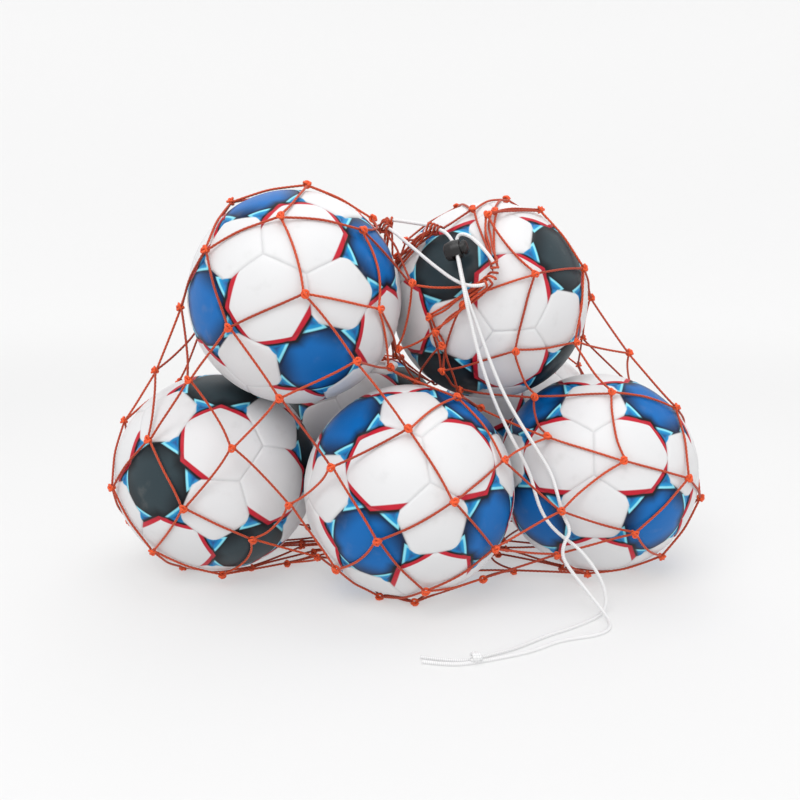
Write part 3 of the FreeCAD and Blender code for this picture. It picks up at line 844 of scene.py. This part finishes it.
def make_net():
    """Twine bars along the CAD net's own lines, and a knot at each crossing."""
    rng = np.random.default_rng(NET_SEED)
    beads = [points for points, edges in node_parts("net_knots")]
    knots = np.array([(points.min(axis=0) + points.max(axis=0)) / 2 for points in beads])
    ends = [[] for _ in knots]
    for number in range(1, COURSES + 1):
        node = "net_course_%02d" % number
        tubes = Tubes()
        for points, edges in node_parts(node):
            line = centreline(points, edges, knots)
            for tip in (line[0], line[-1]):
                gaps = np.linalg.norm(knots - tip, axis=1)
                if gaps.min() < KNOT_REACH:
                    ends[int(np.argmin(gaps))].append((number, tip))
            line = smoothed(resampled(line, TWINE_STEP), BAR_SMOOTHING)
            # each bar gets a random darker tone, kept deeper than the knots' as painted shade on the thin
            # bars
            add_twine(tubes, line, phase=rng.uniform(0, 6), shade=rng.uniform(0.35, 0.9))
        made = tubes.piece("twine_course_%02d" % number, TWINE)
        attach(made, "net_and_cord")
        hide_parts(node)
    tubes = Tubes()
    shapes = knot_lines()
    for centre, touching in zip(knots, ends):
        axes = np.array(knot_axes(centre, touching))
        tilt = math.radians(rng.uniform(-KNOT_TILT, KNOT_TILT))
        cos, sin = math.cos(tilt), math.sin(tilt)
        swing = np.array([[cos, 0, -sin], [0, 1, 0], [sin, 0, cos]])
        mirror = np.array([rng.choice([-1.0, 1.0]), 1.0, 1.0])
        for shape in shapes:
            line = (shape * mirror) @ swing @ axes + centre
            # knots get little of that darkening, so they stay lighter than the bars
            add_twine(tubes, line, KNOT_RADIUS, KNOT_STEP, rng.uniform(0, 6), rng.uniform(0, 0.2), KNOT_SIDES)
    made = tubes.piece("twine_knots", TWINE)
    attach(made, "net_and_cord")
    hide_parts("net_knots")


def make_base_ring():
    """The ring of cord that gathers the loops at the bottom of the net."""
    low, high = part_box("base_cord")
    centre = (np.array(low) + np.array(high)) / 2
    radius = (high.x - low.x) / 2 - BASE_TWINE_RADIUS
    turn = np.linspace(0, 2 * math.pi, 80)
    line = np.stack([np.cos(turn) * radius, np.sin(turn) * radius, turn * 0], axis=1) + centre
    tubes = Tubes()
    add_twine(tubes, line, BASE_TWINE_RADIUS)
    made = tubes.piece("base_ring", TWINE)
    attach(made, "net_and_cord")
    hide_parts("base_cord")


make_net()
make_base_ring()


# ---------------------------------------------------------------- the balls

# rows of points from a panel's middle, 0, to its side, 1
PANEL_ROWS = (0.0, 0.16, 0.32, 0.48, 0.62, 0.74, 0.84, 0.90, 0.94, 0.965, 0.985, 1.0)
PANEL_COLUMNS = 8       # faces along each side of a panel
SEAM_DEPTH = 1.0 * MM
SEAM_WIDTH = 1.15 * MM
SEAM_SHADE_WIDTH = 0.75 * MM
PILLOW = 0.45 * MM      # how far a panel falls off towards its sides
PILLOW_WIDTH = 16 * MM
COVER_INSET = 0.05 * MM

# the three angles, in degrees, that each ball is turned by
TURNS = {
    "front_middle": (-57, 4, -168),
    "front_left": (-64, -42, -165),
    "front_right": (-64, 4, 166),
    "back_left": (20, 50, 75),
    "back_right": (-35, 20, 40),
    "top_left": (-47, 57, -140),
    "top_right": (-162, -79, -100),
}
CHARCOAL_BALLS = ("front_left", "top_right", "back_left")


def ball_panels():
    """The corners of a 32-panel ball's twelve pentagons and twenty hexagons, one list for each panel."""
    long = (1 + 5 ** 0.5) / 2
    tops = []
    for a in (1, -1):
        for b in (long, -long):
            tops += [unit((0, a, b)), unit((b, 0, a)), unit((a, b, 0))]
    edge = min(np.linalg.norm(tops[0] - other) for other in tops[1:])
    joined = []
    for top in tops:
        gaps = [np.linalg.norm(top - other) for other in tops]
        joined.append([n for n, gap in enumerate(gaps) if 0.9 * edge < gap < 1.1 * edge])

    def round_order(points):
        centre = unit(sum(points))
        first = unit(np.cross(centre, points[0]))
        second = np.cross(centre, first)
        return sorted(points, key=lambda point: math.atan2(point.dot(second), point.dot(first)))

    panels = [round_order([(2 * top + tops[n]) / 3 for n in near]) for top, near in zip(tops, joined)]
    for a in range(12):
        for b in joined[a]:
            for c in joined[b]:
                if a < b < c and c in joined[a]:
                    three = (tops[a], tops[b], tops[c])
                    corners = [(2 * p + q) / 3 for p in three for q in three if p is not q]
                    panels.append(round_order(corners))
    return panels


def ball_template():
    """A ball's points (direction, drop below the radius, share of the seam's colour) and its faces."""
    directions, drops, seams, faces, known = [], [], [], [], {}

    def point(place, gap):
        """The number of the point in this direction, whose nearest seam is this gap away."""
        way = unit(place)
        key = tuple(np.round(way, 6) + 0.0)
        if key not in known:
            known[key] = len(directions)
            directions.append(way)
            groove = math.exp(-(gap / SEAM_WIDTH) ** 2)
            pillow = max(0.0, 1 - gap / PILLOW_WIDTH) ** 2
            drops.append(SEAM_DEPTH * groove + PILLOW * pillow)
            seams.append(math.exp(-(gap / SEAM_SHADE_WIDTH) ** 2))
        return known[key]

    for corners in ball_panels():
        centre = sum(corners) / len(corners)
        for start, end in zip(corners, corners[1:] + corners[:1]):
            deep = np.linalg.norm((start + end) / 2 - centre) * BALL_RADIUS
            rims = [start + (end - start) * n / PANEL_COLUMNS for n in range(PANEL_COLUMNS + 1)]
            grid = []
            for share in PANEL_ROWS:
                grid.append([point(centre + (rim - centre) * share, (1 - share) * deep) for rim in rims])
            for low, high in zip(grid, grid[1:]):
                for n in range(PANEL_COLUMNS):
                    around = [low[n], high[n], high[n + 1], low[n + 1]]
                    faces.append([v for k, v in enumerate(around) if v != around[k - 1]])
    return np.array(directions), np.array(drops), np.array(seams), faces


TEMPLATE = ball_template()


def make_ball(name, turn, material):
    directions, drops, seams, faces = TEMPLATE
    rotation = np.array(Euler([math.radians(angle) for angle in turn]).to_matrix())
    centre = np.array(BALLS[name]) * MM
    places = directions @ rotation.T
    radii = BALL_RADIUS - COVER_INSET - drops
    mesh = bpy.data.meshes.new("ball_" + name)
    mesh.from_pydata((places * radii[:, None] + centre).tolist(), [], faces)
    layer = mesh.attributes.new("print", "FLOAT_VECTOR", "POINT")
    layer.data.foreach_set("vector", directions.astype(np.float32).ravel())
    layer = mesh.attributes.new("seam", "FLOAT", "POINT")
    layer.data.foreach_set("value", seams.astype(np.float32))
    mesh.shade_smooth()
    mesh.materials.append(material)
    made = bpy.data.objects.new("ball_" + name, mesh)
    scene.collection.objects.link(made)
    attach(made, "ball_" + name)
    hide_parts("ball_" + name + "_cover")


for name, turn in TURNS.items():
    make_ball(name, turn, CHARCOAL_BALL if name in CHARCOAL_BALLS else BLUE_BALL)


# ---------------------------------------------------------------- the cord lock, and what is inside the balls

SPRING_RADIUS = 3.6
SPRING_WIRE = 0.45      # radius of its wire
SPRING_PITCH = 1.6
SPRING_HEIGHT = 4.6
SPRING_DOWN = 9.5       # from the cord hole's middle to the spring's foot
SPRING_POINTS = 90
WIRE_SIDES = 12


def make_spring():
    """The lock's coil spring, between the housing's floor and the button; the real one is squeezed as the
    button goes in, but this coil keeps its length.
    """
    turns = np.linspace(0, SPRING_HEIGHT / SPRING_PITCH, SPRING_POINTS)
    angle = turns * 2 * math.pi
    across = np.cos(angle)[:, None] * CHANNEL + np.sin(angle)[:, None] * OUT
    line = LOCK - BARREL * SPRING_DOWN + across * SPRING_RADIUS + (turns * SPRING_PITCH)[:, None] * BARREL
    tubes = Tubes()
    shape = (len(line), WIRE_SIDES)
    around = np.broadcast_to(np.arange(WIRE_SIDES) * 2 * math.pi / WIRE_SIDES, shape)
    tubes.sweep(line * MM, around, np.full(shape, SPRING_WIRE * MM), np.ones(shape))
    made = tubes.piece("lock_spring", STEEL)
    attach(made, "cord_lock")
    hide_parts("cord_lock_spring")
    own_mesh(made)


def dress(node, material):
    mesh = NODES[node].data
    mesh.materials.clear()
    mesh.materials.append(material)


make_spring()
dress("cord_lock_housing", LOCK_PLASTIC)
dress("cord_lock_button", LOCK_PLASTIC)
for name in BALLS:
    dress("ball_%s_bladder" % name, RUBBER)
    dress("ball_%s_valve" % name, RUBBER)
